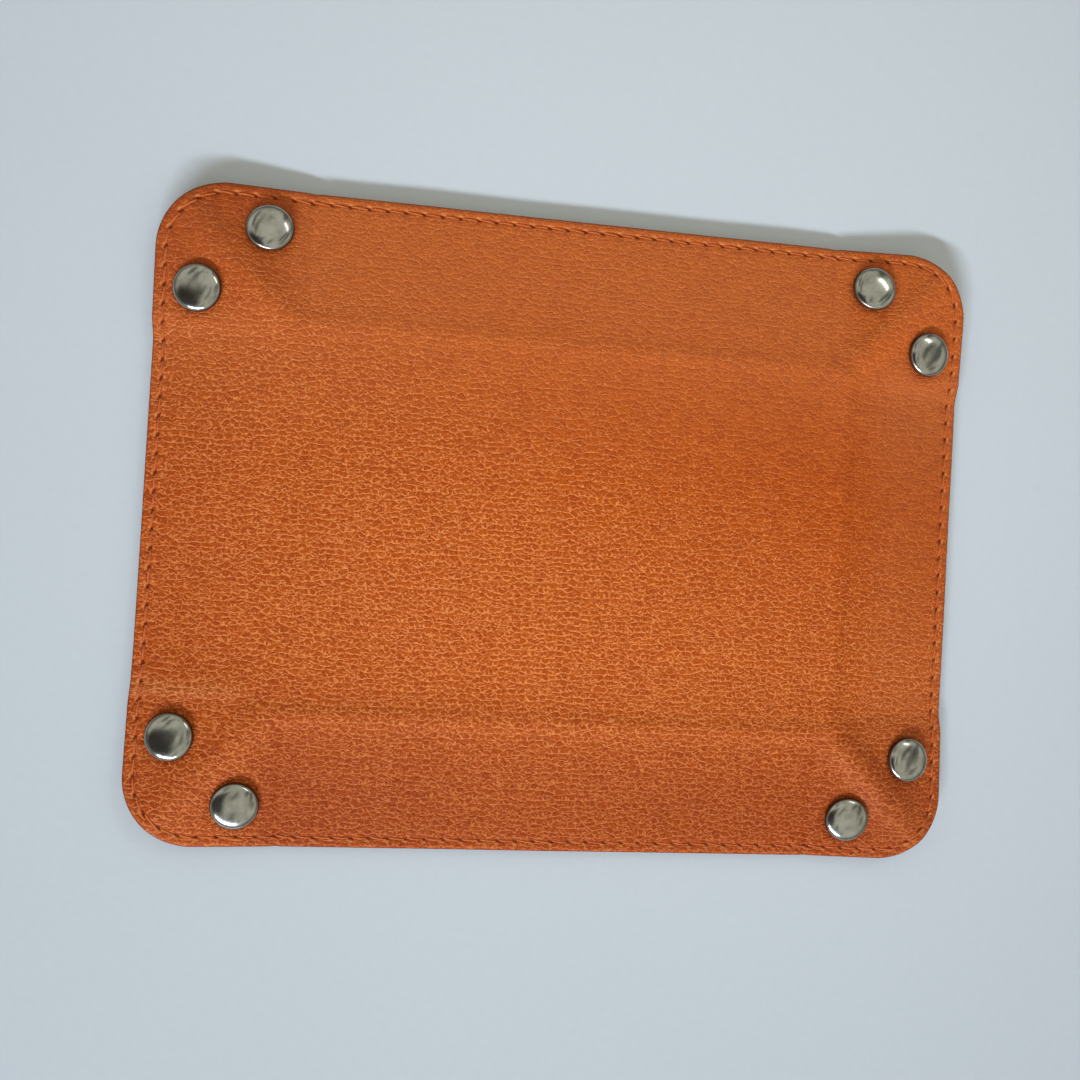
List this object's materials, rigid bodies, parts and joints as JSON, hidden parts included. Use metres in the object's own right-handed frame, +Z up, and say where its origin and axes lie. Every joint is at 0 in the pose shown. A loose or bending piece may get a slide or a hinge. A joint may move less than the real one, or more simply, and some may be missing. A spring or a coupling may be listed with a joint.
{
  "type": "valet tray",
  "caption": "Soft folding valet tray lying face down and unsnapped: a sewn, boarded sheet whose walls fold and whose corners pinch shut with domed snaps.",
  "frame": {"origin": "centre of the footprint, on the surface that the tray lies on", "axes": "+X along the length, +Y towards the back wall, +Z up, out of the outer face as the tray lies face down"},
  "size_m": [0.225, 0.1728, 0.0087],
  "materials": {
    "cover_leather": "grained orange imitation leather",
    "lining_leather": "smooth orange imitation leather",
    "stiffener_board": "grey board",
    "cap_metal": "polished nickel plate",
    "snap_metal": "nickel-plated brass",
    "spring_wire": "drawn spring wire"
  },
  "bodies": {
    "base": {"cover_base": "cover_leather", "board_base": "stiffener_board", "lining_base": "lining_leather"},
    "front_wall": {"cover_front": "cover_leather", "board_front": "stiffener_board", "lining_front": "lining_leather"},
    "back_wall": {"cover_back": "cover_leather", "board_back": "stiffener_board", "lining_back": "lining_leather"},
    "left_wall": {"cover_left": "cover_leather", "board_left": "stiffener_board", "lining_left": "lining_leather"},
    "right_wall": {"cover_right": "cover_leather", "board_right": "stiffener_board", "lining_right": "lining_leather"},
    "stud_half_front_left": {"cover_stud_half_front_left": "cover_leather", "lining_stud_half_front_left": "lining_leather", "cap_stud_half_front_left": "cap_metal", "post_stud_half_front_left": "snap_metal", "stud_front_left": "snap_metal"},
    "socket_half_front_left": {"cover_socket_half_front_left": "cover_leather", "lining_socket_half_front_left": "lining_leather", "cap_socket_half_front_left": "cap_metal", "post_socket_half_front_left": "snap_metal", "socket_front_left": "snap_metal", "spring_front_left": "spring_wire"},
    "stud_half_front_right": {"cover_stud_half_front_right": "cover_leather", "lining_stud_half_front_right": "lining_leather", "cap_stud_half_front_right": "cap_metal", "post_stud_half_front_right": "snap_metal", "stud_front_right": "snap_metal"},
    "socket_half_front_right": {"cover_socket_half_front_right": "cover_leather", "lining_socket_half_front_right": "lining_leather", "cap_socket_half_front_right": "cap_metal", "post_socket_half_front_right": "snap_metal", "socket_front_right": "snap_metal", "spring_front_right": "spring_wire"},
    "stud_half_back_left": {"cover_stud_half_back_left": "cover_leather", "lining_stud_half_back_left": "lining_leather", "cap_stud_half_back_left": "cap_metal", "post_stud_half_back_left": "snap_metal", "stud_back_left": "snap_metal"},
    "socket_half_back_left": {"cover_socket_half_back_left": "cover_leather", "lining_socket_half_back_left": "lining_leather", "cap_socket_half_back_left": "cap_metal", "post_socket_half_back_left": "snap_metal", "socket_back_left": "snap_metal", "spring_back_left": "spring_wire"},
    "stud_half_back_right": {"cover_stud_half_back_right": "cover_leather", "lining_stud_half_back_right": "lining_leather", "cap_stud_half_back_right": "cap_metal", "post_stud_half_back_right": "snap_metal", "stud_back_right": "snap_metal"},
    "socket_half_back_right": {"cover_socket_half_back_right": "cover_leather", "lining_socket_half_back_right": "lining_leather", "cap_socket_half_back_right": "cap_metal", "post_socket_half_back_right": "snap_metal", "socket_back_right": "snap_metal", "spring_back_right": "spring_wire"}
  },
  "joints": [
    {"name": "front_wall_fold", "type": "hinge", "parent": "base", "child": "front_wall", "pos_m": [0, -0.05095, 0.006], "axis": [1, 0, 0], "range_deg": [-7, 83]},
    {"name": "back_wall_fold", "type": "hinge", "parent": "base", "child": "back_wall", "pos_m": [0, 0.05095, 0.006], "axis": [-1, 0, 0], "range_deg": [-7, 83]},
    {"name": "left_wall_fold", "type": "hinge", "parent": "base", "child": "left_wall", "pos_m": [-0.0767, 0, 0.006], "axis": [0, -1, 0], "range_deg": [-7, 83]},
    {"name": "right_wall_fold", "type": "hinge", "parent": "base", "child": "right_wall", "pos_m": [0.0767, 0, 0.006], "axis": [0, 1, 0], "range_deg": [-7, 83]},
    {"name": "stud_half_fold_front_left", "type": "hinge", "parent": "front_wall", "child": "stud_half_front_left", "pos_m": [-0.07298, -0.06869, 0.00564], "axis": [0, 0.9925, 0.1219], "range_deg": [-3.5, 41.5]},
    {"name": "diagonal_fold_front_left", "type": "hinge", "parent": "stud_half_front_left", "child": "socket_half_front_left", "pos_m": [-0.09455, -0.06837, 0.00307], "axis": [-0.7058, -0.7071, -0.0433], "range_deg": [-14, 166]},
    {"name": "stud_half_fold_front_right", "type": "hinge", "parent": "front_wall", "child": "stud_half_front_right", "pos_m": [0.07298, -0.06869, 0.00564], "axis": [0, -0.9925, -0.1219], "range_deg": [-3.5, 41.5]},
    {"name": "diagonal_fold_front_right", "type": "hinge", "parent": "stud_half_front_right", "child": "socket_half_front_right", "pos_m": [0.09455, -0.06837, 0.00307], "axis": [-0.7058, 0.7071, 0.0433], "range_deg": [-14, 166]},
    {"name": "stud_half_fold_back_left", "type": "hinge", "parent": "back_wall", "child": "stud_half_back_left", "pos_m": [-0.07298, 0.06869, 0.00564], "axis": [0, 0.9925, -0.1219], "range_deg": [-3.5, 41.5]},
    {"name": "diagonal_fold_back_left", "type": "hinge", "parent": "stud_half_back_left", "child": "socket_half_back_left", "pos_m": [-0.09455, 0.06837, 0.00307], "axis": [0.7058, -0.7071, 0.0433], "range_deg": [-14, 166]},
    {"name": "stud_half_fold_back_right", "type": "hinge", "parent": "back_wall", "child": "stud_half_back_right", "pos_m": [0.07298, 0.06869, 0.00564], "axis": [0, -0.9925, 0.1219], "range_deg": [-3.5, 41.5]},
    {"name": "diagonal_fold_back_right", "type": "hinge", "parent": "stud_half_back_right", "child": "socket_half_back_right", "pos_m": [0.09455, 0.06837, 0.00307], "axis": [0.7058, 0.7071, -0.0433], "range_deg": [-14, 166]}
  ],
  "couplings": [
    {"joint": "back_wall_fold", "follows": "front_wall_fold", "ratio": 1},
    {"joint": "left_wall_fold", "follows": "front_wall_fold", "ratio": 1},
    {"joint": "right_wall_fold", "follows": "front_wall_fold", "ratio": 1},
    {"joint": "stud_half_fold_front_left", "follows": "front_wall_fold", "ratio": 0.5},
    {"joint": "diagonal_fold_front_left", "follows": "front_wall_fold", "ratio": 2},
    {"joint": "stud_half_fold_front_right", "follows": "front_wall_fold", "ratio": 0.5},
    {"joint": "diagonal_fold_front_right", "follows": "front_wall_fold", "ratio": 2},
    {"joint": "stud_half_fold_back_left", "follows": "front_wall_fold", "ratio": 0.5},
    {"joint": "diagonal_fold_back_left", "follows": "front_wall_fold", "ratio": 2},
    {"joint": "stud_half_fold_back_right", "follows": "front_wall_fold", "ratio": 0.5},
    {"joint": "diagonal_fold_back_right", "follows": "front_wall_fold", "ratio": 2}
  ]
}
